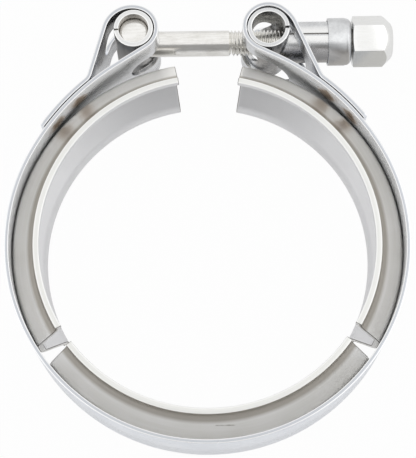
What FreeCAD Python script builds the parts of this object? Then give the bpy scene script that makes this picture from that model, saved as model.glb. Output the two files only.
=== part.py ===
# V band clamp with a T-bolt closure, all stainless steel.
# A flat strap runs round the clamp and loops back on itself at both ends. Each loop holds a
# trunnion, and each tail is spot welded to the outside of the strap. Three V-section retainers
# sit inside the strap and pull two tube flanges together. The T-bolt swivels in the left
# trunnion, passes through the right one and carries a cup washer and a nut.
# Frame: the ring's axis is Z, the strap stands on Z = 0, and the trunnions are on the +Y side.
import FreeCAD, Part
import Sketcher
import math
import os

Vector = FreeCAD.Vector
Z_UP = Vector(0, 0, 1)

# Driving dimensions in millimetres and degrees. Angles about the ring's axis run from +X to +Y.
SIZES = [
    ("band_width", 22.0, "strap width along the ring's axis"),
    ("band_gauge", 1.0, "strap sheet thickness"),
    ("band_inner_radius", 46.65, "strap inner radius where it is round"),
    ("seat_gap", 0.05, "clearance where pieces seat on each other"),
    ("retainer_gauge", 1.5, "retainer sheet thickness"),
    ("retainer_depth", 7.15, "depth of the retainers from the strap's bore to the lips' inner side"),
    ("lip_height", 2.2, "height of each lip up to its flank"),
    ("flank_angle", 50.0, "slope of the V flanks from the ring's axis"),
    ("section_bend", 2.4, "middle radius of the retainers' four bends"),
    ("left_retainer_start_angle", 99.2, "upper end of the left retainer"),
    ("left_retainer_end_angle", 210.5, "lower end of the left retainer"),
    ("bottom_retainer_start_angle", 216.6, "left end of the bottom retainer"),
    ("bottom_retainer_end_angle", 323.8, "right end of the bottom retainer"),
    ("right_retainer_start_angle", 329.3, "lower end of the right retainer"),
    ("right_retainer_end_angle", 438.7, "upper end of the right retainer"),
    ("trunnion_rise", 6.6, "height of the bolt's axis above the top of the ring's bore"),
    ("left_trunnion_x", -17.3, "place of the left trunnion"),
    ("right_trunnion_x", 15.6, "place of the right trunnion"),
    ("left_flare_rise", 11.1, "how much flatter than the ring the left flare is bent"),
    ("left_flare_run", 8.7, "straight run between the left flare and its loop"),
    ("right_flare_rise", 9.9, "how much flatter than the ring the right flare is bent"),
    ("right_flare_run", 4.9, "straight run between the right flare and its loop"),
    ("left_crown_radius", 6.9, "middle radius of the left loop past the trunnion"),
    ("left_crown_start_angle", 72.0, "where the left loop leaves the trunnion"),
    ("left_leg_angle", 164.0, "direction that the left leg faces"),
    ("right_crown_radius", 9.0, "middle radius of the right loop past the trunnion"),
    ("right_crown_start_angle", 55.0, "where the right loop leaves the trunnion"),
    ("right_leg_angle", 23.0, "direction that the right leg faces"),
    ("tail_bend", 3.3, "middle radius of the bend where a leg meets the strap"),
    ("left_tail_length", 15.3, "length of the left tail on the strap"),
    ("right_tail_length", 13.9, "length of the right tail on the strap"),
    ("weld_radius", 1.6, "radius of a spot weld between tail and strap"),
    ("weld_setback", 2.4, "distance of the last spot welds from the tail's end"),
    ("weld_spacing", 8.6, "distance between the spot welds along the tail"),
    ("weld_edge", 4.0, "distance of the spot welds from the strap's edges"),
    ("left_slot_width", 7.2, "slot for the bolt in the left loop"),
    ("left_slot_setback", 4.9, "slot end from the left loop's tangent point"),
    ("left_slot_drop", 3.1, "slot end below the top of the left leg"),
    ("right_slot_width", 10.8, "slot for the trunnion neck in the right loop"),
    ("right_slot_setback", 9.1, "slot end from the right loop's tangent point"),
    ("right_slot_drop", 8.5, "slot end below the top of the right leg"),
    ("sleeve_outer_radius", 5.0, "left trunnion sleeve, outside"),
    ("sleeve_wall", 1.3, "left trunnion sleeve, sheet thickness"),
    ("sleeve_seam", 0.35, "gap along the rolled sleeve's seam"),
    ("sleeve_seam_angle", 184.0, "side of the sleeve where its seam lies"),
    ("bolt_radius", 3.175, "quarter inch T-bolt shank, thread crest"),
    ("bolt_clearance", 0.3, "clearance of the shank in the sleeve's hole"),
    ("bar_clearance", 0.1, "clearance of the T-head in the sleeve"),
    ("bar_length", 17.2, "length of the bolt's T-head"),
    ("bar_chamfer", 0.6, "chamfer at both ends of the T-head"),
    ("bolt_reach", 63.4, "bolt length from the left trunnion's axis"),
    ("bolt_point", 0.8, "chamfer at the bolt's free end"),
    ("thread_start", 23.3, "thread start from the left trunnion's axis"),
    ("thread_depth", 0.5, "depth of the thread below the crest"),
    ("tube_outer_radius", 5.35, "right trunnion cross tube, outside"),
    ("tube_wall", 1.1, "right trunnion sheet thickness"),
    ("tube_length", 21.0, "right trunnion cross tube length"),
    ("tube_seam", 0.5, "gap along the cross tube's seam"),
    ("neck_outer_radius", 5.1, "neck of the right trunnion, outside"),
    ("neck_reach", 19.75, "neck end from the right trunnion's axis"),
    ("neck_seam", 0.25, "width of the neck's lengthwise seam"),
    ("neck_seam_depth", 0.6, "depth of the neck's lengthwise seam"),
    ("neck_seam_tilt_angle", 10.0, "seam direction from +Z towards +Y"),
    ("far_hole_radius", 4.5, "hole for the bolt on the side away from the neck"),
    ("cup_radius", 5.9, "cup washer, outside"),
    ("cup_wall", 0.55, "cup washer, side wall"),
    ("cup_floor", 0.8, "cup washer, floor under the nut"),
    ("cup_length", 5.8, "cup washer length"),
    ("cup_corner", 0.9, "bevelled corner of the cup washer"),
    ("cup_step", 0.12, "step in front of the bevelled corner"),
    ("cup_hole_gap", 0.15, "clearance of the bolt in the cup's floor"),
    ("cup_seat_gap", 0.15, "axial clearance between neck end and cup floor"),
    ("nut_flats", 11.11, "width across the nut's flats"),
    ("nut_length", 10.0, "nut length"),
    ("nut_corner_angle", 10.6, "direction of the nut's first corner, from +Y towards +Z"),
    ("nut_end_chamfer", 2.2, "length of the chamfer at the nut's free end"),
    ("nut_end_radius", 4.3, "radius where that chamfer ends"),
    ("nut_crown", 0.35, "crown of the face at the free end"),
    ("nut_face_radius", 3.6, "radius of the flat face at the free end"),
    ("nut_seat_chamfer", 0.3, "length of the chamfer at the nut's seat"),
    ("nut_seat_radius", 5.5, "radius of the flat face at the nut's seat"),
    ("nut_gap", 0.3, "gap between cup washer and nut"),
    ("thread_fit", 0.05, "radial clearance of the bolt in the nut"),
]


def make_sheet(doc):
    """Put every driving dimension in a spreadsheet cell with an alias."""
    sheet = doc.addObject("Spreadsheet::Sheet", "Sizes")
    for row, (alias, value, note) in enumerate(SIZES, start=1):
        sheet.set(f"A{row}", note)
        sheet.set(f"B{row}", str(value))
        sheet.setAlias(f"B{row}", alias)
    doc.recompute()
    return sheet


def polar(radius, degrees):
    """Point at a radius and an angle about the origin of a sketch."""
    angle = math.radians(degrees)
    return Vector(radius * math.cos(angle), radius * math.sin(angle), 0)


def bolt_height(size):
    """Distance of the bolt's axis from the ring's centre."""
    return size["band_inner_radius"] + size["trunnion_rise"]


def quarter_turn(direction):
    """The direction turned a quarter turn counter-clockwise."""
    return Vector(-direction.y, direction.x, 0)


class Strip:
    """Middle line of a bent sheet, made of straight runs and tangent arcs."""

    def __init__(self, gauge):
        self.half = gauge / 2
        self.left = []
        self.right = []

    def line(self, start, end):
        side = quarter_turn((end - start).normalize()) * self.half
        self.left.append(("line", start + side, end + side))
        self.right.append(("line", start - side, end - side))

    def arc(self, centre, radius, start, end):
        """Arc from the angle start to the angle end; it runs clockwise if end is smaller."""
        inward = self.half if end > start else -self.half
        self.left.append(("arc", centre, radius - inward, start, end))
        self.right.append(("arc", centre, radius + inward, start, end))

    def outline(self):
        """Closed outline of the sheet: one side, an end, the other side, the other end."""
        edges = [make_edge(piece) for piece in self.left]
        edges.append(Part.LineSegment(piece_end(self.left[-1]), piece_end(self.right[-1])))
        edges.extend(make_edge(piece) for piece in reversed(self.right))
        edges.append(Part.LineSegment(piece_start(self.right[0]), piece_start(self.left[0])))
        return edges


def piece_start(piece):
    return piece[1] if piece[0] == "line" else piece[1] + polar(piece[2], piece[3])


def piece_end(piece):
    return piece[2] if piece[0] == "line" else piece[1] + polar(piece[2], piece[4])


def make_edge(piece):
    """Sketch geometry for one straight run or arc."""
    if piece[0] == "line":
        return Part.LineSegment(piece[1], piece[2])
    kind, centre, radius, start, end = piece
    first, last = sorted((math.radians(start), math.radians(end)))
    return Part.ArcOfCircle(Part.Circle(centre, Z_UP, radius), first, last)


def origin_plane(body, role):
    return next(item for item in body.Origin.OriginFeatures if item.Role == role)


def make_body(doc, label):
    body = doc.addObject("PartDesign::Body", label)
    body.Label = label
    return body


def make_sketch(body, role, name, **offsets):
    """Sketch on one of the body's own origin planes, shifted by expressions along x, y or z."""
    sketch = body.newObject("Sketcher::SketchObject", name)
    sketch.AttachmentSupport = [(origin_plane(body, role), "")]
    sketch.MapMode = "FlatFace"
    for direction, expression in offsets.items():
        sketch.setExpression(f"AttachmentOffset.Base.{direction}", expression)
    return sketch


def add_circle(sketch, expression, value):
    """Circle about the sketch's origin with its radius bound to the sizes."""
    index = sketch.addGeometry(Part.Circle(Vector(0, 0, 0), Z_UP, value))
    sketch.addConstraint(Sketcher.Constraint("Coincident", index, 3, -1, 1))
    radius = sketch.addConstraint(Sketcher.Constraint("Radius", index, value))
    sketch.setExpression(f"Constraints[{radius}]", expression)


def add_polygon(sketch, corners):
    """Closed polygon with its corners joined."""
    count = len(corners)
    first = sketch.GeometryCount
    for index, corner in enumerate(corners):
        sketch.addGeometry(Part.LineSegment(corner, corners[(index + 1) % count]))
    for index in range(count):
        following = first + (index + 1) % count
        sketch.addConstraint(Sketcher.Constraint("Coincident", first + index, 2, following, 1))


def add_feature(body, kind, name, profile, **values):
    """Sketch-based feature; each value is a number, a flag or an expression on the sizes."""
    feature = body.newObject(f"PartDesign::{kind}", name)
    feature.Profile = profile
    for key, value in values.items():
        if isinstance(value, str) and value.startswith("Sizes."):
            feature.setExpression(key, value)
        else:
            setattr(feature, key, value)
    profile.Visibility = False
    return feature


def bent_sheet(corners, gauge):
    """Closed outline of a sheet with sharp bends, from the corners of its middle line."""
    runs = [(after - before).normalize() for before, after in zip(corners, corners[1:])]
    sides = [quarter_turn(run) for run in runs]
    shifts = [sides[0]]
    for before, after in zip(sides, sides[1:]):
        shifts.append((before + after) / (1 + before.dot(after)))
    shifts.append(sides[-1])
    left = [corner + shift * (gauge / 2) for corner, shift in zip(corners, shifts)]
    right = [corner - shift * (gauge / 2) for corner, shift in zip(corners, shifts)]
    return left + right[::-1]


def ease_bends(corners, radius):
    """Middle line with a short flat facet in place of each bend, which turns into a plain cone."""
    line = corners[:1]
    for before, corner, after in zip(corners, corners[1:], corners[2:]):
        arriving = (corner - before).normalize()
        leaving = (after - corner).normalize()
        setback = radius * math.tan(arriving.getAngle(leaving) / 2)
        line += [corner - arriving * setback, corner + leaving * setback]
    return line + corners[-1:]


def retainer_section(size):
    """Outline of the V section: lip, flank, flat root, flank and lip, in radius and height."""
    gauge = size["retainer_gauge"]
    lip_radius = size["band_inner_radius"] - size["retainer_depth"] + gauge / 2
    root_radius = size["band_inner_radius"] - size["seat_gap"] - gauge / 2
    lip_foot = size["band_width"] - size["lip_height"]
    root_top = lip_foot - (root_radius - lip_radius) / math.tan(math.radians(size["flank_angle"]))
    upper = [
        Vector(lip_radius, size["band_width"], 0),
        Vector(lip_radius, lip_foot, 0),
        Vector(root_radius, root_top, 0),
    ]
    lower = [Vector(point.x, size["band_width"] - point.y, 0) for point in reversed(upper)]
    return bent_sheet(ease_bends(upper + lower, size["section_bend"]), gauge)


def make_retainer(doc, size, side):
    """Roll-formed V section, swept round its span of the ring and cut square at both ends."""
    body = make_body(doc, f"retainer_{side}")
    sketch = make_sketch(body, "XZ_Plane", f"retainer_{side}_section")
    add_polygon(sketch, retainer_section(size))
    sweep = add_feature(body, "Revolution", f"retainer_{side}_sweep", sketch)
    sweep.ReferenceAxis = (sketch, ["V_Axis"])
    sweep.setExpression("Angle", f"Sizes.{side}_retainer_end_angle - Sizes.{side}_retainer_start_angle")
    body.Placement.Rotation = FreeCAD.Rotation(Z_UP, size[f"{side}_retainer_start_angle"])
    return body


class Loop:
    """One end of the strap: flare, loop round the trunnion, leg, and tail back on the strap.

    Everything is worked out for a loop on the right of the ring. The left one is the same with
    its X values and angles mirrored.
    """

    def __init__(self, size, side):
        self.mirror = side == "left"
        self.gauge = size["band_gauge"]
        middle = size["band_inner_radius"] + size["band_gauge"] / 2
        seat = size["seat_gap"] + size["band_gauge"] / 2
        tube = size["sleeve_outer_radius"] if self.mirror else size["tube_outer_radius"]
        self.ring_radius = middle
        self.flare_rise = size[f"{side}_flare_rise"]
        self.flare_run = size[f"{side}_flare_run"]
        self.flare_radius = middle + self.flare_rise
        self.trunnion = Vector(abs(size[f"{side}_trunnion_x"]), bolt_height(size), 0)
        self.hug_radius = tube + seat
        self.crown_radius = size[f"{side}_crown_radius"]
        self.crown_start = self.turn(size[f"{side}_crown_start_angle"])
        self.leg_angle = self.turn(size[f"{side}_leg_angle"])
        self.tail_radius = self.flare_radius + size["band_gauge"] + size["seat_gap"]
        self.tail_length = size[f"{side}_tail_length"]
        self.tail_bend = size["tail_bend"]
        self.solve()

    def turn(self, degrees):
        return 180 - degrees if self.mirror else degrees

    def solve(self):
        """Start of the flare and the tangent points of the trunnion, the leg and the tail."""
        span = self.trunnion.Length
        apart_squared = (self.flare_radius + self.hug_radius) ** 2 + self.flare_run ** 2
        lean = (apart_squared - span ** 2 - self.flare_rise ** 2) / (2 * self.flare_rise * span)
        trunnion_angle = math.degrees(math.atan2(self.trunnion.y, self.trunnion.x))
        self.flare_start = trunnion_angle - math.degrees(math.acos(lean))
        self.flare_centre = polar(-self.flare_rise, self.flare_start)
        apart = self.trunnion - self.flare_centre
        towards = math.degrees(math.atan2(apart.y, apart.x))
        reach = (self.flare_radius + self.hug_radius) / apart.Length
        self.flare_end = towards - math.degrees(math.acos(reach))
        self.line_start = self.flare_centre + polar(self.flare_radius, self.flare_end)
        self.line_end = self.trunnion - polar(self.hug_radius, self.flare_end)
        self.crown_centre = self.trunnion + polar(self.hug_radius - self.crown_radius, self.crown_start)
        self.leg_top = self.crown_centre + polar(self.crown_radius, self.leg_angle)
        self.leg_side = polar(1, self.leg_angle)
        self.leg_down = quarter_turn(self.leg_side) * -1
        shifted = self.leg_top - self.flare_centre + self.leg_side * self.tail_bend
        along = shifted.dot(self.leg_down)
        bend_reach = self.tail_radius + self.tail_bend
        self.leg_length = -along - math.sqrt(along ** 2 - shifted.dot(shifted) + bend_reach ** 2)
        self.leg_foot = self.leg_top + self.leg_down * self.leg_length
        self.bend_centre = self.leg_foot + self.leg_side * self.tail_bend
        to_bend = self.bend_centre - self.flare_centre
        self.tail_start = math.degrees(math.atan2(to_bend.y, to_bend.x))
        self.tail_end = self.tail_start - math.degrees(self.tail_length / self.tail_radius)

    def place(self, point):
        return Vector(-point.x, point.y, 0) if self.mirror else point

    def angles(self, start, end):
        return (180 - start, 180 - end) if self.mirror else (start, end)

    def pieces(self):
        """The loop's straight runs and arcs in order, from the ring to the tail's end."""
        ahead = [
            ("arc", self.flare_centre, self.flare_radius, self.flare_start, self.flare_end),
            ("line", self.line_start, self.line_end),
            ("arc", self.trunnion, self.hug_radius, self.flare_end + 180, self.crown_start),
            ("arc", self.crown_centre, self.crown_radius, self.crown_start, self.leg_angle),
            ("line", self.leg_top, self.leg_foot),
            ("arc", self.bend_centre, self.tail_bend, self.leg_angle + 180, self.tail_start + 180),
            ("arc", self.flare_centre, self.tail_radius, self.tail_start, self.tail_end),
        ]
        return [self.placed(piece) for piece in ahead]

    def placed(self, piece):
        if piece[0] == "line":
            return ("line", self.place(piece[1]), self.place(piece[2]))
        return ("arc", self.place(piece[1]), piece[2], *self.angles(piece[3], piece[4]))


def add_piece(strip, piece, backwards=False):
    """Add one piece of a loop to the strap's middle line, in either direction."""
    if piece[0] == "line":
        ends = (piece[2], piece[1]) if backwards else (piece[1], piece[2])
        strip.line(*ends)
    else:
        ends = (piece[4], piece[3]) if backwards else (piece[3], piece[4])
        strip.arc(piece[1], piece[2], *ends)


def strap_outline(left, right):
    """Strap seen along the ring's axis, from the left tail round the ring to the right tail."""
    strip = Strip(left.gauge)
    for piece in reversed(left.pieces()):
        add_piece(strip, piece, backwards=True)
    strip.arc(Vector(0, 0, 0), left.ring_radius, 180 - left.flare_start, 360 + right.flare_start)
    for piece in right.pieces():
        add_piece(strip, piece)
    return strip.outline()


def place_primitive(body, primitive, base, direction):
    """Stand a primitive on a point of the body's own frame, along a direction."""
    primitive.AttachmentSupport = [(origin_plane(body, "XY_Plane"), "")]
    primitive.MapMode = "FlatFace"
    primitive.AttachmentOffset = FreeCAD.Placement(base, FreeCAD.Rotation(Z_UP, direction))


def cut_slot(body, size, loop, side):
    """Round-ended slot through the loop, from the flare over the loop's top to the leg."""
    width = size[f"{side}_slot_width"]
    cut = 2.5 * size["band_gauge"]
    flare_side = polar(1, loop.flare_end)
    flare_back = (loop.line_start - loop.line_end).normalize()
    near = loop.line_end + flare_back * (size[f"{side}_slot_setback"] - width / 2)
    far = loop.leg_top + loop.leg_down * (size[f"{side}_slot_drop"] - width / 2)
    beyond = loop.trunnion + polar(loop.hug_radius + 3 * cut, 135)
    near_edges = [near + flare_side * cut, near - flare_side * cut]
    far_edges = [far + loop.leg_side * cut, far - loop.leg_side * cut]
    inner_near, outer_near = (loop.place(point) for point in near_edges)
    outer_far, inner_far = (loop.place(point) for point in far_edges)
    raised = f"Sizes.band_width / 2 + Sizes.{side}_slot_width / 2"
    sketch = make_sketch(body, "XY_Plane", f"{side}_slot_section", z=raised)
    sketch.addGeometry(Part.LineSegment(inner_near, outer_near))
    sketch.addGeometry(Part.Arc(outer_near, loop.place(beyond), outer_far))
    sketch.addGeometry(Part.LineSegment(outer_far, inner_far))
    sketch.addGeometry(Part.LineSegment(inner_far, inner_near))
    add_feature(body, "Pocket", f"{side}_slot", sketch, Length=f"Sizes.{side}_slot_width")
    middle = Vector(0, 0, size["band_width"] / 2)
    for name, foot, head in (("flare", outer_near, inner_near), ("leg", outer_far, inner_far)):
        end = body.newObject("PartDesign::SubtractiveCylinder", f"{side}_slot_{name}_end")
        place_primitive(body, end, foot + middle, head - foot)
        end.setExpression("Radius", f"Sizes.{side}_slot_width / 2")
        end.Height = 2 * cut


def add_welds(body, size, loop, side):
    """Spot welds that join the tail to the strap, two near each edge."""
    for order, setback in enumerate((size["weld_setback"], size["weld_setback"] + size["weld_spacing"])):
        angle = loop.tail_end + math.degrees(setback / loop.tail_radius)
        foot = loop.place(loop.flare_centre + polar(loop.flare_radius, angle))
        head = loop.place(loop.flare_centre + polar(loop.tail_radius, angle))
        for edge, height in enumerate((size["weld_edge"], size["band_width"] - size["weld_edge"])):
            weld = body.newObject("PartDesign::AdditivePrism", f"{side}_weld_{order}_{edge}")
            place_primitive(body, weld, foot + Vector(0, 0, height), head - foot)
            weld.setExpression("Circumradius", "Sizes.weld_radius")
            weld.Height = (head - foot).Length


def make_band(doc, size):
    """The strap: one flat strip bent into the ring, its two loops and their welded tails."""
    body = make_body(doc, "band")
    loops = {side: Loop(size, side) for side in ("left", "right")}
    sketch = make_sketch(body, "XY_Plane", "band_outline")
    sketch.addGeometry(strap_outline(loops["left"], loops["right"]))
    add_feature(body, "Pad", "band_width_pad", sketch, Length="Sizes.band_width")
    for side, loop in loops.items():
        cut_slot(body, size, loop, side)
        add_welds(body, size, loop, side)
    return body


def rolled_tube(sketch, outer_radius, wall, seam, seam_angle):
    """Section of a sheet rolled into a tube, open along its seam."""
    middle = outer_radius - wall / 2
    half_gap = math.degrees(seam / middle) / 2
    strip = Strip(wall)
    strip.arc(Vector(0, 0, 0), middle, seam_angle + half_gap, seam_angle + 360 - half_gap)
    sketch.addGeometry(strip.outline())


def make_sleeve(doc, size):
    """Rolled sleeve in the left loop, with a hole for the bolt's shank."""
    body = make_body(doc, "trunnion_sleeve")
    section = make_sketch(body, "XY_Plane", "sleeve_section")
    rolled_tube(section, size["sleeve_outer_radius"], size["sleeve_wall"],
                size["sleeve_seam"], size["sleeve_seam_angle"])
    add_feature(body, "Pad", "sleeve_roll", section, Length="Sizes.band_width")
    hole = make_sketch(body, "YZ_Plane", "sleeve_hole_section", y="Sizes.band_width / 2")
    add_circle(hole, "Sizes.bolt_radius + Sizes.bolt_clearance",
               size["bolt_radius"] + size["bolt_clearance"])
    add_feature(body, "Pocket", "sleeve_hole", hole, Reversed=True, Type="ThroughAll")
    body.Placement.Base = Vector(size["left_trunnion_x"], bolt_height(size), 0)
    return body


def make_t_bolt(doc, size):
    """T-bolt: a cross bar that turns in the sleeve and a shank along +X."""
    body = make_body(doc, "t_bolt")
    bar_radius = size["sleeve_outer_radius"] - size["sleeve_wall"] - size["bar_clearance"]
    bar = make_sketch(body, "XY_Plane", "bar_section", z="-Sizes.bar_length / 2")
    add_circle(bar, "Sizes.sleeve_outer_radius - Sizes.sleeve_wall - Sizes.bar_clearance", bar_radius)
    bar_pad = add_feature(body, "Pad", "bar", bar, Length="Sizes.bar_length")
    doc.recompute()
    ends = body.newObject("PartDesign::Chamfer", "bar_chamfers")
    ends.Base = (bar_pad, circle_edges(bar_pad.Shape))
    ends.setExpression("Size", "Sizes.bar_chamfer")
    shank = make_sketch(body, "YZ_Plane", "shank_section")
    add_circle(shank, "Sizes.bolt_radius", size["bolt_radius"])
    add_feature(body, "Pad", "shank", shank, Length="Sizes.bolt_reach")
    pitch_radius = size["bolt_radius"] - size["thread_depth"] / 2
    reach = size["bolt_reach"]
    point = size["bolt_point"]
    outside = size["bolt_radius"] + 1
    relief = make_sketch(body, "XY_Plane", "thread_section")
    add_polygon(relief, [
        Vector(size["thread_start"], pitch_radius, 0),
        Vector(reach - point, pitch_radius, 0),
        Vector(reach, pitch_radius - point, 0),
        Vector(reach + 1, pitch_radius - point, 0),
        Vector(reach + 1, outside, 0),
        Vector(size["thread_start"] - size["thread_depth"] - 1, outside, 0),
    ])
    thread = add_feature(body, "Groove", "thread_at_pitch_line", relief)
    thread.ReferenceAxis = (relief, ["H_Axis"])
    body.Placement.Base = bolt_axis_point(size, size["left_trunnion_x"])
    return body


def circle_edges(shape):
    """Names of the shape's circular edges."""
    edges = enumerate(shape.Edges, start=1)
    return [f"Edge{index}" for index, edge in edges if isinstance(edge.Curve, Part.Circle)]


def bolt_axis_point(size, x):
    return Vector(x, bolt_height(size), size["band_width"] / 2)


def make_tube_trunnion(doc, size):
    """Right trunnion: a rolled cross tube with a neck that the bolt passes through."""
    body = make_body(doc, "tube_trunnion")
    section = make_sketch(body, "XY_Plane", "tube_section", z="-Sizes.tube_length / 2")
    rolled_tube(section, size["tube_outer_radius"], size["tube_wall"], size["tube_seam"], 0)
    add_feature(body, "Pad", "cross_tube", section, Length="Sizes.tube_length")
    neck = make_sketch(body, "YZ_Plane", "neck_section")
    add_circle(neck, "Sizes.neck_outer_radius", size["neck_outer_radius"])
    add_feature(body, "Pad", "neck", neck, Length="Sizes.neck_reach")
    bore = make_sketch(body, "XY_Plane", "tube_bore_section", z="Sizes.tube_length / 2")
    add_circle(bore, "Sizes.tube_outer_radius - Sizes.tube_wall",
               size["tube_outer_radius"] - size["tube_wall"])
    add_feature(body, "Pocket", "tube_bore", bore, Length="Sizes.tube_length")
    passage = make_sketch(body, "YZ_Plane", "neck_bore_section")
    add_circle(passage, "Sizes.neck_outer_radius - Sizes.tube_wall",
               size["neck_outer_radius"] - size["tube_wall"])
    add_feature(body, "Pocket", "neck_bore", passage, Reversed=True, Type="ThroughAll")
    far_hole = make_sketch(body, "YZ_Plane", "far_hole_section")
    add_circle(far_hole, "Sizes.far_hole_radius", size["far_hole_radius"])
    add_feature(body, "Pocket", "far_hole", far_hole, Type="ThroughAll")
    seam = body.newObject("PartDesign::SubtractiveBox", "neck_seam")
    seam.AttachmentSupport = [(origin_plane(body, "XY_Plane"), "")]
    seam.MapMode = "FlatFace"
    turn = FreeCAD.Rotation(Vector(1, 0, 0), -size["neck_seam_tilt_angle"])
    corner = Vector(size["tube_outer_radius"] - size["tube_wall"], -size["neck_seam"] / 2,
                    size["neck_outer_radius"] - size["neck_seam_depth"])
    seam.AttachmentOffset = FreeCAD.Placement(turn.multVec(corner), turn)
    seam.setExpression("Length", "Sizes.neck_reach")
    seam.setExpression("Width", "Sizes.neck_seam")
    seam.setExpression("Height", "Sizes.neck_seam_depth + 1")
    body.Placement.Base = bolt_axis_point(size, size["right_trunnion_x"])
    return body


def cup_seat(size):
    """X of the cup washer's outer face, which the nut bears on."""
    neck_end = size["right_trunnion_x"] + size["neck_reach"]
    return neck_end + size["cup_seat_gap"] + size["cup_floor"]


def make_cup_washer(doc, size):
    """Drawn cup washer that covers the end of the neck."""
    body = make_body(doc, "cup_washer")
    length = size["cup_length"]
    outer = size["cup_radius"]
    inner = outer - size["cup_wall"]
    hole = size["bolt_radius"] + size["cup_hole_gap"]
    floor = length - size["cup_floor"]
    corner = length - size["cup_corner"]
    stepped = outer - size["cup_step"]
    sketch = make_sketch(body, "XY_Plane", "cup_section")
    add_polygon(sketch, [
        Vector(0, inner, 0),
        Vector(0, outer, 0),
        Vector(corner, outer, 0),
        Vector(corner, stepped, 0),
        Vector(length, stepped - size["cup_corner"], 0),
        Vector(length, hole, 0),
        Vector(floor, hole, 0),
        Vector(floor, inner, 0),
    ])
    turned = add_feature(body, "Revolution", "cup_turned", sketch)
    turned.ReferenceAxis = (sketch, ["H_Axis"])
    body.Placement.Base = bolt_axis_point(size, cup_seat(size) - length)
    return body


def make_nut(doc, size):
    """Long hexagon nut, chamfered at the seat and more deeply at its free end."""
    body = make_body(doc, "nut")
    length = size["nut_length"]
    corner_radius = size["nut_flats"] / math.sqrt(3)
    hexagon = make_sketch(body, "YZ_Plane", "nut_section")
    add_polygon(hexagon, [polar(corner_radius, size["nut_corner_angle"] + 60 * k) for k in range(6)])
    add_feature(body, "Pad", "nut_blank", hexagon, Length="Sizes.nut_length")
    outside = corner_radius + 1
    free_slope = size["nut_end_chamfer"] / (corner_radius - size["nut_end_radius"])
    free_run = free_slope * (outside - size["nut_end_radius"])
    seat_slope = size["nut_seat_chamfer"] / (corner_radius - size["nut_seat_radius"])
    seat_run = seat_slope * (outside - size["nut_seat_radius"])
    shoulder = length - size["nut_crown"]
    chamfers = make_sketch(body, "XY_Plane", "nut_chamfer_section")
    add_polygon(chamfers, [
        Vector(length, size["nut_face_radius"], 0),
        Vector(shoulder, size["nut_end_radius"], 0),
        Vector(shoulder - free_run, outside, 0),
        Vector(length + 1, outside, 0),
        Vector(length + 1, size["nut_face_radius"], 0),
    ])
    add_polygon(chamfers, [
        Vector(0, size["nut_seat_radius"], 0),
        Vector(seat_run, outside, 0),
        Vector(-1, outside, 0),
        Vector(-1, size["nut_seat_radius"], 0),
    ])
    turned = add_feature(body, "Groove", "nut_chamfers", chamfers)
    turned.ReferenceAxis = (chamfers, ["H_Axis"])
    pitch_radius = size["bolt_radius"] - size["thread_depth"] / 2
    bore = make_sketch(body, "YZ_Plane", "nut_bore_section")
    add_circle(bore, "Sizes.bolt_radius - Sizes.thread_depth / 2 + Sizes.thread_fit",
               pitch_radius + size["thread_fit"])
    add_feature(body, "Pocket", "nut_bore", bore, Reversed=True, Type="ThroughAll")
    body.Placement.Base = bolt_axis_point(size, cup_seat(size) + size["nut_gap"])
    return body


def check_model(doc, bodies):
    """Stop if any object failed or any piece is not one valid solid."""
    for item in doc.Objects:
        if "Invalid" in item.State or "Error" in item.State:
            raise RuntimeError(f"{item.Name} failed: {item.State}")
    for body in bodies:
        shape = body.Shape
        if shape.isNull() or not shape.isValid() or len(shape.Solids) != 1:
            raise RuntimeError(f"{body.Label} is not one valid solid")


def write_parts(bodies):
    os.makedirs("parts", exist_ok=True)
    for body in bodies:
        body.Shape.exportStep(f"parts/{body.Label}.step")
        print(f"{body.Label}: {body.Shape.Volume:.1f} mm3")


def main():
    doc = FreeCAD.newDocument("v_band_clamp")
    make_sheet(doc)
    size = {alias: value for alias, value, note in SIZES}
    bodies = [make_band(doc, size)]
    bodies += [make_retainer(doc, size, side) for side in ("left", "bottom", "right")]
    bodies.append(make_sleeve(doc, size))
    bodies.append(make_t_bolt(doc, size))
    bodies.append(make_tube_trunnion(doc, size))
    bodies.append(make_cup_washer(doc, size))
    bodies.append(make_nut(doc, size))
    doc.recompute()
    check_model(doc, bodies)
    write_parts(bodies)


main()
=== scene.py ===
"""Looks of a stainless steel V band clamp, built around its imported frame.

The strap, the three V-section retainers, both trunnions, the T-bolt with its rolled thread, the
cup washer and the nut are modelled here with their bends, rounded edges and finishes, each where
the frame says. Lengths in the classes are millimetres and become metres in the meshes.
"""
import logging
import math
from dataclasses import dataclass, field, replace
from enum import Enum
from typing import Callable, Iterable, Sequence

import bpy
from bpy.types import Material, Node, NodeSocket, NodeTree, Object, World
from mathutils import Matrix, Vector


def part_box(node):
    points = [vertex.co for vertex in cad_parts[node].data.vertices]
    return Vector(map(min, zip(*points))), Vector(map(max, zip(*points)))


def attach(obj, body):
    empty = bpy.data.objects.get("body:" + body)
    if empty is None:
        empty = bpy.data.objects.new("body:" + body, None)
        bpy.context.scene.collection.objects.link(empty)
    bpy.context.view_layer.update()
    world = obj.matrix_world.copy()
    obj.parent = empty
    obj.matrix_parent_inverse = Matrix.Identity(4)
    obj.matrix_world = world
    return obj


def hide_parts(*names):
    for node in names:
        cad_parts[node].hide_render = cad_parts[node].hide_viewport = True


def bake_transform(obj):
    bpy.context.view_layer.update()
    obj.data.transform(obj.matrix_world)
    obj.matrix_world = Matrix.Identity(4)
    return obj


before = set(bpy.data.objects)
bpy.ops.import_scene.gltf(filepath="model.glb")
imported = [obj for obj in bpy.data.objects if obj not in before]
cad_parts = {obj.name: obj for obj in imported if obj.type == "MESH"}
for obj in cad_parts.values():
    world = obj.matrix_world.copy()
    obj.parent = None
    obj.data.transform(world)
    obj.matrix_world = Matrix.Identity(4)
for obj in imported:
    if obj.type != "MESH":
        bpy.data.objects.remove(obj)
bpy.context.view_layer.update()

UP = Vector((0, 0, 1))
ALONG_BOLT = Vector((1, 0, 0))

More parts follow.
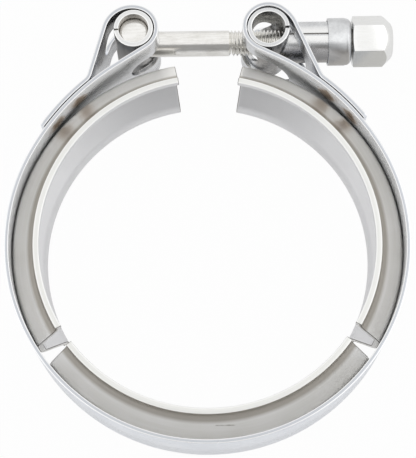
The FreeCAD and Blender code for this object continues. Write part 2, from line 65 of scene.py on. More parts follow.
# Metres in a millimetre, and the millimetres within which vertices are one.
MM = 0.001
MERGE = 0.002

# Metres within which a vertex lies on a cutting plane; small, so that none is moved onto it.
ON_PLANE = 1e-8

# Faces in a retainer's bend and round a turned part, and degrees per face in a bent strip.
BEND_STEPS = 8
ROUND_STEPS = 96
SMALL_STEPS = 64
BEND_DEGREES = 4

Range = tuple[float, float]
Triple = tuple[float, float, float]
LOG = logging.getLogger("clamp")


def hex_colour(code: str) -> tuple[float, float, float, float]:
    """Turn an sRGB hex colour into the linear values that a shader takes.

    Args:
        code: Six hex digits, with or without a leading hash.

    Returns:
        Linear red, green and blue, and an alpha of 1.
    """
    digits = code.lstrip("#")
    channels = []
    for start in (0, 2, 4):
        value = int(digits[start:start + 2], 16) / 255
        channels.append(value / 12.92 if value <= 0.04045 else ((value + 0.055) / 1.055) ** 2.4)
    return (channels[0], channels[1], channels[2], 1.0)


def add_node(tree: NodeTree, kind: str, inputs: dict | None = None, **settings: object) -> Node:
    """Add a node with its settings, values and links.

    Args:
        tree: The node tree that gets the node.
        kind: The node's type name after ShaderNode.
        inputs: Socket name or number to a value, or to the output socket that feeds it.
        **settings: Properties of the node itself.

    Returns:
        The new node.
    """
    node = tree.nodes.new(f"ShaderNode{kind}")
    for name, value in settings.items():
        setattr(node, name, value)
    for key, value in (inputs or {}).items():
        if isinstance(value, NodeSocket):
            tree.links.new(value, node.inputs[key])
        else:
            node.inputs[key].default_value = value
    return node


def calculate(tree: NodeTree, operation: str, *values: object) -> NodeSocket:
    """Add a math node for numbers and return its result."""
    return add_node(tree, "Math", dict(enumerate(values)), operation=operation).outputs[0]


def calculate_vector(tree: NodeTree, operation: str, *values: object) -> NodeSocket:
    """Add a math node for vectors and return its result, a number for lengths and products."""
    node = add_node(tree, "VectorMath", dict(enumerate(values)), operation=operation)
    return node.outputs["Value" if operation in ("LENGTH", "DOT_PRODUCT") else "Vector"]


def ramp(tree: NodeTree, value: NodeSocket, nothing: float, full: float,
         **settings: object) -> NodeSocket:
    """Return a share that goes from 0 at one value to 1 at another."""
    return add_node(tree, "MapRange", {"Value": value, "From Min": nothing, "From Max": full},
                    **settings).outputs[0]


def colour_ramp(tree: NodeTree, value: NodeSocket,
                *stops: tuple[float, Sequence[float]]) -> NodeSocket:
    """Return a value's colour between stops of place and colour; the first stop is at 0.

    Args:
        tree: The node tree that is being filled.
        value: The value that picks the colour.
        *stops: Places from 0 to 1, each with its colour.

    Returns:
        The colour at the value.
    """
    node = add_node(tree, "ValToRGB", {0: value})
    elements = node.color_ramp.elements
    elements[0].color = stops[0][1]
    elements[1].position, elements[1].color = stops[1]
    for place, colour in stops[2:]:
        elements.new(place).color = colour
    return node.outputs[0]


def mix_colours(tree: NodeTree, share: NodeSocket, under: object, over: object) -> NodeSocket:
    """Lay a share of one colour over another and return the result."""
    return add_node(tree, "Mix", {0: share, 6: under, 7: over}, data_type="RGBA").outputs[2]


def mix_shaders(tree: NodeTree, share: NodeSocket, under: Node, over: Node) -> NodeSocket:
    """Lay a share of one shader over another and return the result."""
    return add_node(tree, "MixShader", {0: share, 1: under.outputs[0],
                                        2: over.outputs[0]}).outputs[0]


def empty_tree(owner: Material | World) -> NodeTree:
    """Turn on a material's or a world's nodes and return its tree, emptied.

    Args:
        owner: The material or the world.

    Returns:
        Its node tree, without nodes.
    """
    owner.use_nodes = True
    owner.node_tree.nodes.clear()
    return owner.node_tree


def object_place(tree: NodeTree) -> NodeSocket:
    """Return the shaded point's place in the frame, in metres."""
    return add_node(tree, "TexCoord").outputs["Object"]


def facing(tree: NodeTree) -> NodeSocket:
    """Return the direction that the surface faces."""
    return add_node(tree, "NewGeometry").outputs["Normal"]


def share_facing(tree: NodeTree, direction: object, nothing: float, full: float) -> NodeSocket:
    """Return how far the surface faces a direction, as a share between two cosines."""
    return ramp(tree, calculate_vector(tree, "DOT_PRODUCT", facing(tree), direction), nothing, full)


def from_axis(tree: NodeTree) -> NodeSocket:
    """Return the way from the ring's axis to the shaded point, in plan."""
    return calculate_vector(tree, "MULTIPLY", object_place(tree), (1.0, 1.0, 0.0))


def outwards(tree: NodeTree) -> NodeSocket:
    """Return the direction away from the ring's axis."""
    return calculate_vector(tree, "NORMALIZE", from_axis(tree))


def through_sheet(tree: NodeTree) -> NodeSocket:
    """Return the place in the sheet's thickness: -1 on the inner side and 1 on the outer one."""
    return add_node(tree, "Attribute", attribute_name="through").outputs["Fac"]


def polar(radius: float, degrees: float) -> Vector:
    """Return the point at a radius and an angle in the plan view."""
    angle = math.radians(degrees)
    return Vector((radius * math.cos(angle), radius * math.sin(angle), 0.0))


def angle_of(vector: Vector) -> float:
    """Return a vector's angle in the plan view, in degrees."""
    return math.degrees(math.atan2(vector.y, vector.x))


class Grain(Enum):
    """How the fine lines of a finish lie on a piece."""

    SHEET = "along the sheet's own run attribute"
    DRAWN = "along the bolt's axis"
    MOTTLED = "no direction"


class Sides(Enum):
    """What tells a sheet's inner side from its outer one."""

    RING = "whether it faces the ring's axis"
    SHEET = "the sheet's own through attribute"


@dataclass(frozen=True)
class Mark:
    """A small patch in another tone, such as a spot weld's oxide tint or the painted shade of a
    dent.

    The centre is in metres and the reach holds its half sizes along the axes in millimetres.
    """

    centre: Vector
    reach: Triple
    middle: str = "#4A3B2E"
    rim: str = "#A88F72"
    depth: float = 1.0
    core: float = 0.6
    core_depth: float = 0.85
    rim_place: float = 0.85


@dataclass(frozen=True)
class StainlessFinish:
    """A stainless steel surface as its making left it.

    The steel is grey and mirror-like underneath; rolling, drawing or turning leaves fine lines
    that blur what it reflects along one direction and break it into streaks across it.
    """

    name: str
    colour: str
    worn_colour: str
    roughness: float
    roughness_spread: float
    grain: Grain
    line_spacing: float
    line_length: float
    line_height: float
    line_detail: float = 3.0
    line_breakup: float = 0.6
    blotch_size: float = 9.0
    soft_detail: float = 2.0
    sides: Sides = Sides.RING
    # Painted shade on a sheet's inner side and on its outer side.
    inner_shade_colour: str | None = None
    outer_shade_colour: str | None = None
    edge_colour: str | None = None
    line_colour: str | None = None
    # Painted shade on the outer side of the bends beside a retainer's lips.
    bend_shade_colour: str | None = None
    bend_radii: Range = (42.9, 42.1)
    bend_facing: Range = (0.0, 0.25)
    ring_range: Range = (0.1, -0.4)
    inner_range: Range = (-0.9, -0.98)
    outer_range: Range = (0.9, 0.98)
    edge_range: Range = (0.85, 0.97)
    torn_range: Range = (0.7, 0.4)
    cut_end_line_start: Range = (0.2, 0.35)
    cut_end_line_end: Range = (0.98, 0.93)
    cut_end_line_colour: str | None = None
    # Painted shade: faces turned towards the side away from the light get this colour.
    painted_shade_colour: str | None = None
    painted_shade_side: Triple = (0.0, -0.956, 0.292)
    painted_shade_range: Range = (0.9, 0.95)
    blotch_share: float = 0.45
    polish_range: Range = (0.35, 0.65)
    marks: tuple[Mark, ...] = ()
    mark_wave: float = 2.2
    mark_waviness: float = 0.9

    def coordinates(self, tree: NodeTree) -> NodeSocket:
        """Return the vector that the lines are drawn on, in units of one line spacing.

        Args:
            tree: The node tree that is being filled.

        Returns:
            The vector, stretched along the grain.
        """
        across, along = (1 / (size * MM) for size in (self.line_spacing, self.line_length))
        if self.grain is Grain.SHEET:
            places = {index: add_node(tree, "Attribute", attribute_name=name).outputs["Fac"]
                      for index, name in enumerate(("run", "across"))}
            source = add_node(tree, "CombineXYZ", places).outputs[0]
        else:
            source = object_place(tree)
        scale = {
            Grain.SHEET: (along, across, 1.0),
            Grain.DRAWN: (along, across, across),
            Grain.MOTTLED: (across, across, across),
        }[self.grain]
        return add_node(tree, "Mapping", {"Vector": source, "Scale": scale}).outputs[0]

    def soft_noise(self, tree: NodeTree, place: NodeSocket, size: float) -> NodeSocket:
        """Return soft noise of a size in millimetres, between 0 and 1."""
        return add_node(tree, "TexNoise", {"Vector": place, "Detail": self.soft_detail,
                                           "Scale": 1 / (size * MM)}).outputs["Fac"]

    def tint(self, tree: NodeTree, colour: NodeSocket) -> NodeSocket:
        """Lay the marks over a colour, with a wavy outline, and return the result.

        Args:
            tree: The node tree that is being filled.
            colour: The colour under the marks.

        Returns:
            The colour with the marks.
        """
        if not self.marks:
            return colour
        place = object_place(tree)
        waves = self.soft_noise(tree, place, self.mark_wave)
        shift = calculate(tree, "SUBTRACT", waves, 0.5)
        for mark in self.marks:
            away = calculate_vector(tree, "SUBTRACT", place, mark.centre)
            scaled = calculate_vector(tree, "DIVIDE", away, Vector(mark.reach) * MM)
            far = calculate_vector(tree, "LENGTH", scaled)
            share = calculate(tree, "MULTIPLY_ADD", shift, self.mark_waviness, far)
            full, most, none = (Vector((tone, tone, tone, 1)) for tone in
                                (mark.depth, mark.depth * mark.core_depth, 0.0))
            strength = colour_ramp(tree, share, (0.0, full), (1.0, none), (mark.core, most))
            hue = colour_ramp(tree, share, (0.0, hex_colour(mark.middle)),
                              (mark.rim_place, hex_colour(mark.rim)))
            colour = mix_colours(tree, strength, colour, hue)
        return colour

    def on_painted_shade_side(self, tree: NodeTree) -> NodeSocket:
        """Return 1 on the side that lies away from the light, where shade is painted."""
        return share_facing(tree, self.painted_shade_side, *self.painted_shade_range)

    def on_bend_shade(self, tree: NodeTree) -> NodeSocket:
        """Return 1 on the outer side of the bends beside a retainer's lips, where shade is painted.

        Args:
            tree: The node tree that is being filled.

        Returns:
            The share of the tone, from 0 to 1.
        """
        radius = calculate_vector(tree, "LENGTH", from_axis(tree))
        near = ramp(tree, radius, *(limit * MM for limit in self.bend_radii))
        outer = share_facing(tree, outwards(tree), *self.bend_facing)
        return calculate(tree, "MULTIPLY", near, outer)

    def on_shaded_inner_side(self, tree: NodeTree) -> NodeSocket:
        """Return 1 on the sheet's inner side, where shade is painted.

        Args:
            tree: The node tree that is being filled.

        Returns:
            The share of the tone, from 0 to 1.
        """
        if self.sides is Sides.RING:
            return share_facing(tree, outwards(tree), *self.ring_range)
        return ramp(tree, through_sheet(tree), *self.inner_range)

    def on_shaded_outer_side(self, tree: NodeTree) -> NodeSocket:
        """Return 1 on the sheet's outer side, where shade is painted."""
        return ramp(tree, through_sheet(tree), *self.outer_range)

    def on_edge(self, tree: NodeTree) -> NodeSocket:
        """Return 1 on the sheared edges, which face along the ring's axis."""
        height = add_node(tree, "SeparateXYZ", {0: facing(tree)}).outputs[2]
        return ramp(tree, calculate(tree, "ABSOLUTE", height), *self.edge_range)

    def on_torn_line(self, tree: NodeTree) -> NodeSocket:
        """Return 1 in the middle of a sheared edge, where the cut tore."""
        depth = calculate(tree, "ABSOLUTE", through_sheet(tree))
        return calculate(tree, "MULTIPLY", self.on_edge(tree), ramp(tree, depth, *self.torn_range))

    def on_cut_end_line(self, tree: NodeTree) -> NodeSocket:
        """Return 1 on the rounded rim of an end that was cut across the ring.

        Args:
            tree: The node tree that is being filled.

        Returns:
            The share of the tone, from 0 to 1.
        """
        tangent = calculate_vector(tree, "CROSS_PRODUCT", outwards(tree), (0, 0, 1))
        endwards = calculate_vector(tree, "DOT_PRODUCT", facing(tree), tangent)
        ending = calculate(tree, "ABSOLUTE", endwards)
        return calculate(tree, "MULTIPLY", ramp(tree, ending, *self.cut_end_line_start),
                         ramp(tree, ending, *self.cut_end_line_end))

    def by_side(self, tree: NodeTree, colour: NodeSocket) -> NodeSocket:
        """Paint shade on the sides and bends, give the sheared edges their own tone and return the
        result.

        Painted shade darkens the inner side, the bend beside the lip and the side away from the
        light;
        the edges were cut and are bright, with a grey line where the cut tore.

        Args:
            tree: The node tree that is being filled.
            colour: The colour under the tones.

        Returns:
            The colour with the tones.
        """
        # Painted shade: the side away from the light, the bends beside the lips and the inner and
        # outer sides.
        tones = (
            (self.painted_shade_colour, self.on_painted_shade_side),
            (self.bend_shade_colour, self.on_bend_shade),
            (self.inner_shade_colour, self.on_shaded_inner_side),
            (self.outer_shade_colour, self.on_shaded_outer_side),
            (self.edge_colour, self.on_edge),
            (self.line_colour, self.on_torn_line),
            (self.cut_end_line_colour, self.on_cut_end_line),
        )
        for code, share in tones:
            if code is not None:
                colour = mix_colours(tree, share(tree), colour, hex_colour(code))
        return colour

    def build(self) -> Material:
        """Make the Blender material and return it.

        Returns:
            The material, named after the finish.
        """
        material = bpy.data.materials.new(self.name)
        tree = empty_tree(material)
        lines = add_node(tree, "TexNoise", {
            "Vector": self.coordinates(tree), "Scale": 1.0, "Detail": self.line_detail,
            "Roughness": self.line_breakup}).outputs["Fac"]
        blotches = self.soft_noise(tree, object_place(tree), self.blotch_size)
        streaks = calculate(tree, "MULTIPLY", lines, 1 - self.blotch_share)
        total = calculate(tree, "MULTIPLY_ADD", blotches, self.blotch_share, streaks)
        polish = ramp(tree, total, *self.polish_range)
        colour = mix_colours(tree, polish, hex_colour(self.worn_colour), hex_colour(self.colour))
        rough = calculate(tree, "MULTIPLY_ADD", polish, -2 * self.roughness_spread,
                          self.roughness + self.roughness_spread)
        bump = add_node(tree, "Bump", {"Height": lines, "Strength": 1.0,
                                       "Distance": self.line_height * MM})
        shader = add_node(tree, "BsdfPrincipled", {
            "Base Color": self.tint(tree, self.by_side(tree, colour)), "Metallic": 1.0,
            "Roughness": rough, "Normal": bump.outputs[0]})
        add_node(tree, "OutputMaterial", {"Surface": shader.outputs[0]})
        return material


# The strap's strip: bright and a little bluish, with long fine streaks along its run. Its inner
# side gets a little painted shade, and its sheared edges shine beside a grey torn line.
STRIP_FINISH = StainlessFinish(
    name="cold_rolled_stainless_strip", colour="#F3F6FB", worn_colour="#E8EBF1", roughness=0.27,
    roughness_spread=0.05, grain=Grain.SHEET, line_spacing=0.25, line_length=16.0,
    line_height=0.003, inner_shade_colour="#E4E5E7", edge_colour="#F0F0F0", line_colour="#C6C9CE")

# The retainers' sheet: satin and warm, so the flanks shade softly from the lip to the root. The
# bends beside the lips and the inner side get painted shade; a dark line outlines the cut ends.
RETAINER_FINISH = StainlessFinish(
    name="roll_formed_stainless_sheet", colour="#FFFEFC", worn_colour="#F6F5F1", roughness=0.5,
    roughness_spread=0.06, grain=Grain.SHEET, line_spacing=0.4, line_length=26.0,
    line_height=0.005, inner_shade_colour="#EBEBEC", edge_colour="#F2F2F0", line_colour="#E6E6E3",
    bend_shade_colour="#C2BDB5", cut_end_line_colour="#6B6661")

# The sleeve: dull rolled sheet with painted shade on both sides, so that its bright cut end stands
# out as a ring round the cross bar.
SLEEVE_FINISH = StainlessFinish(
    name="dull_rolled_stainless", colour="#EFEEEA", worn_colour="#D2D0CB", roughness=0.38,
    roughness_spread=0.08, grain=Grain.SHEET, line_spacing=0.3, line_length=3.0,
    line_height=0.01, blotch_size=4.0, sides=Sides.SHEET, inner_shade_colour="#B4B1AD",
    outer_shade_colour="#ADABA8", edge_colour="#F3F3F2", line_colour="#E2E2E1")

# The right trunnion: pressed tube with a mottled skin, bright on top of the neck; painted shade
# darkens the neck's lower side and the inside.
TUBE_FINISH = StainlessFinish(
    name="formed_stainless_tube", colour="#E4E5E6", worn_colour="#C6C7C8", roughness=0.27,
    roughness_spread=0.06, grain=Grain.MOTTLED, line_spacing=0.8, line_length=0.8,
    line_height=0.01, blotch_size=3.5, sides=Sides.SHEET, inner_shade_colour="#A3A3A2",
    edge_colour="#EFEFEE", line_colour="#D6D7D8", painted_shade_colour="#A6A3A0", painted_shade_range=(0.7, 0.82))

# The cup washer: a drawn skin with a faint mottle, lighter than the neck under it, with painted
# shade on its lower side.
CUP_FINISH = StainlessFinish(
    name="deep_drawn_stainless_cup", colour="#E0E1E2", worn_colour="#CBCCCD", roughness=0.32,
    roughness_spread=0.05, grain=Grain.MOTTLED, line_spacing=0.8, line_length=0.8,
    line_height=0.006, blotch_size=3.5, painted_shade_colour="#B6B3AF", painted_shade_range=(0.77, 0.88))

# The T-bolt: the brightest round piece, with draw lines that stretch its reflections lengthwise.
ROD_FINISH = StainlessFinish(
    name="drawn_stainless_rod", colour="#F6F5F2", worn_colour="#E2E0DB", roughness=0.2,
    roughness_spread=0.07, grain=Grain.DRAWN, line_spacing=0.5, line_length=3.5,
    line_height=0.004, blotch_size=3.0)

# The nut: smooth drawn bar with nearly white flats; painted shade greys the flat below.
NUT_FINISH = StainlessFinish(
    name="drawn_hexagon_stainless_bar", colour="#F6F6F5", worn_colour="#F0F0EE", roughness=0.24,
    roughness_spread=0.04, grain=Grain.DRAWN, line_spacing=0.6, line_length=9.0,
    line_height=0.001, blotch_size=5.0, painted_shade_colour="#D0CFCB")


def deselect_all() -> None:
    """Leave nothing selected, so that an operator acts only on what is selected after this."""
    if bpy.context.object and bpy.context.object.mode != "OBJECT":
        bpy.ops.object.mode_set(mode="OBJECT")
    bpy.ops.object.select_all(action="DESELECT")


def activate(piece: Object) -> None:
    """Select one piece alone and make it the active one.

    Args:
        piece: The piece.
    """
    deselect_all()
    piece.select_set(True)
    bpy.context.view_layer.objects.active = piece


def leave_edit() -> None:
    """Go back to object mode."""
    bpy.ops.object.mode_set(mode="OBJECT")


def extrude(step: Vector) -> None:
    """Extrude what is selected by a step in metres."""
    bpy.ops.mesh.extrude_region_move(TRANSFORM_OT_translate={"value": step})


def draw_line(name: str, points: Sequence[Vector]) -> Object:
    """Draw a line of edges by extruding one vertex from point to point.

    Args:
        name: Name of the new object.
        points: Corners in metres.

    Returns:
        The object, in edit mode with all of it selected.
    """
    deselect_all()
    bpy.ops.mesh.primitive_plane_add(size=MM, enter_editmode=True)
    bpy.ops.mesh.merge(type="CENTER")
    bpy.ops.transform.translate(value=points[0])
    for start, end in zip(points, points[1:]):
        extrude(end - start)
    bpy.ops.mesh.select_all(action="SELECT")
    bpy.context.object.name = name
    return bpy.context.object


def edit(piece: Object) -> None:
    """Open a piece in edit mode with everything selected.

    Args:
        piece: The piece.
    """
    activate(piece)
    bpy.ops.object.mode_set(mode="EDIT")
    bpy.ops.mesh.select_all(action="SELECT")


def clean(piece: Object) -> None:
    """Merge doubled vertices and turn all faces outwards.

    Args:
        piece: The piece.
    """
    edit(piece)
    bpy.ops.mesh.remove_doubles(threshold=MERGE * MM)
    bpy.ops.mesh.normals_make_consistent(inside=False)
    leave_edit()


def lathe(name: str, profile: Sequence[tuple[float, float]], centre: Vector, axis: Vector,
          steps: int = ROUND_STEPS) -> Object:
    """Turn a profile round an axis into a closed solid.

    Args:
        name: Name of the new object.
        profile: Pairs of distance along the axis and radius, in millimetres. It starts and ends
            on the axis, or its last point is its first one.
        centre: Point on the axis, in millimetres.
        axis: Unit direction of the axis.
        steps: Number of faces round the axis.

    Returns:
        The finished object.
    """
    centre = centre * MM
    side = axis.orthogonal().normalized()
    points = [centre + axis * along * MM + side * radius * MM for along, radius in profile]
    piece = draw_line(name, points)
    bpy.ops.mesh.spin(steps=steps, angle=math.tau, center=centre, axis=axis)
    leave_edit()
    clean(piece)
    return piece


def cylinder(centre: Vector, axis: Vector, start: float, end: float, radius: float,
             steps: int = ROUND_STEPS) -> Object:
    """Make a solid between two distances from a centre along an axis, in millimetres."""
    profile = [(start, 0), (start, radius), (end, radius), (end, 0)]
    return lathe("cylinder", profile, centre, axis, steps)


def prism(name: str, outline: Sequence[Vector], lift: Vector) -> Object:
    """Raise an outline of corners into a solid, in metres.

    Args:
        name: Name of the new object.
        outline: Its corners in metres, in order.
        lift: The way from the outline to its far copy, in metres.

    Returns:
        The finished object.
    """
    piece = draw_line(name, outline)
    bpy.ops.mesh.remove_doubles(threshold=MERGE * MM)
    bpy.ops.mesh.edge_face_add()
    extrude(lift)
    clean(piece)
    return piece


def add_modifier(piece: Object, kind: str, **settings: object) -> None:
    """Add a modifier with its settings and apply it at once.

    Args:
        piece: The piece.
        kind: The modifier's type.
        **settings: Properties of the modifier.
    """
    activate(piece)
    modifier = piece.modifiers.new(kind.lower(), kind)
    for name, value in settings.items():
        setattr(modifier, name, value)
    bpy.ops.object.modifier_apply(modifier=modifier.name)


def carve(piece: Object, tool: Object, operation: str = "DIFFERENCE") -> None:
    """Combine a piece with a tool body and remove the tool.

    Args:
        piece: The piece that is changed.
        tool: A closed body.
        operation: DIFFERENCE, UNION or INTERSECT.
    """
    add_modifier(piece, "BOOLEAN", object=tool, operation=operation, solver="EXACT")
    bpy.data.objects.remove(tool, do_unlink=True)


def round_edges(piece: Object, width: float, degrees: float = 50.0) -> None:
    """Round every edge that is sharper than an angle, by a width in millimetres."""
    add_modifier(piece, "BEVEL", width=width * MM, segments=2, limit_method="ANGLE",
                 angle_limit=math.radians(degrees), use_clamp_overlap=True)


def thicken(sheet: Object, gauge: float, edge_round: float) -> None:
    """Give an open sheet its thickness about its middle and round its edges, in millimetres.

    Args:
        sheet: The open sheet.
        gauge: The thickness that it gets.
        edge_round: Width of the rounding along its edges.
    """
    add_modifier(sheet, "SOLIDIFY", thickness=gauge * MM, offset=0.0, use_even_offset=True)
    clean(sheet)
    round_edges(sheet, edge_round)


def write_attribute(piece: Object, name: str, value: Callable[[Vector], float]) -> None:
    """Store a number at every vertex, worked out from the vertex's place in metres."""
    attribute = piece.data.attributes.new(name, "FLOAT", "POINT")
    attribute.data.foreach_set("value", [value(vertex.co) for vertex in piece.data.vertices])


def dress(piece: Object, material: Material, degrees: float = 32.0) -> None:
    """Shade a piece smoothly up to an angle and give it its material.

    Args:
        piece: The piece.
        material: The piece's finish.
        degrees: Edges that are flatter than this look smooth.
    """
    activate(piece)
    bpy.ops.object.shade_smooth_by_angle(angle=math.radians(degrees))
    piece.data.materials.clear()
    piece.data.materials.append(material)


@dataclass
class SheetBender:
    """Bends an upright strip in plan from where it stands, in straight runs and bends."""

    name: str
    here: Vector
    heading: float
    foot: float
    width: float
    length: float = 0.0
    stretches: list[tuple] = field(default_factory=list)

    def start(self) -> None:
        """Draw the strip's first upright edge and leave it selected in edit mode."""
        low = self.here + UP * self.foot
        draw_line(self.name, [low * MM, (low + UP * self.width) * MM])

    def run(self, distance: float) -> None:
        """Carry the strip straight ahead.

        Args:
            distance: Length of the straight run in millimetres.
        """
        step = polar(distance, self.heading)
        extrude(step * MM)
        self.stretches.append(("run", self.here.copy(), self.heading, distance, self.length))
        self.here = self.here + step
        self.length += distance

    def bend(self, radius: float, degrees: float) -> None:
        """Bend the strip to the left by a positive angle or to the right by a negative one.

        Args:
            radius: Radius of the strip's middle in millimetres.
            degrees: The angle of the bend.
        """
        side = math.copysign(1.0, degrees)
        centre = self.here + polar(radius, self.heading + 90 * side)
        arc = math.radians(abs(degrees)) * radius
        steps = max(math.ceil(abs(degrees) / BEND_DEGREES), math.ceil(arc))
        bpy.ops.mesh.spin(steps=steps, angle=-math.radians(degrees), center=centre * MM, axis=UP)
        self.stretches.append(("bend", centre, radius, self.heading - 90 * side, degrees,
                               self.length))
        self.here = centre + polar(radius, self.heading - 90 * side + degrees)
        self.heading += degrees
        self.length += arc

    def finish(self) -> Object:
        """Leave edit mode and return the open sheet."""
        leave_edit()
        return bpy.context.object

    def nearest(self, point: Vector) -> Triple:
        """Return a point's distance from the strip, its length along it and its offset."""
        flat = Vector((point.x / MM, point.y / MM, 0))
        return min(self.measure(stretch, flat) for stretch in self.stretches)

    def record_places(self, sheet: Object, gauge: float, outer: int) -> None:
        """Store how far along, across and through the sheet each vertex lies.

        Args:
            sheet: The thickened sheet.
            gauge: Its thickness in millimetres.
            outer: 1 where the sheet's outer side is on the left of its run, or -1.
        """
        write_attribute(sheet, "run", lambda point: self.nearest(point)[1] * MM)
        write_attribute(sheet, "across", lambda point: point.z)
        write_attribute(sheet, "through",
                        lambda point: outer * self.nearest(point)[2] * 2 / gauge)

    @staticmethod
    def measure(stretch: tuple, point: Vector) -> Triple:
        """Return a point's distance from a stretch, its length along it and its offset.

        Args:
            stretch: A run or a bend, as it was recorded.
            point: A place in the plan view, in millimetres.

        Returns:
            Distance, length along the strip and offset to the left, in millimetres.
        """
        if stretch[0] == "run":
            kind, start, heading, distance, before = stretch
            away = point - start
            along = min(max(away.dot(polar(1, heading)), 0.0), distance)
            offset = away.dot(polar(1, heading + 90))
            return (away - polar(along, heading)).length, before + along, offset
        kind, centre, radius, first, degrees, before = stretch
        away = point - centre
        side = math.copysign(1, degrees)
        turn = angle_of(away) - first
        turn = (turn * side + 180) % 360 - 180
        turn = min(max(turn, 0.0), abs(degrees))
        nearest = centre + polar(radius, first + turn * side)
        offset = (radius - away.length) * side
        return (point - nearest).length, before + math.radians(turn) * radius, offset


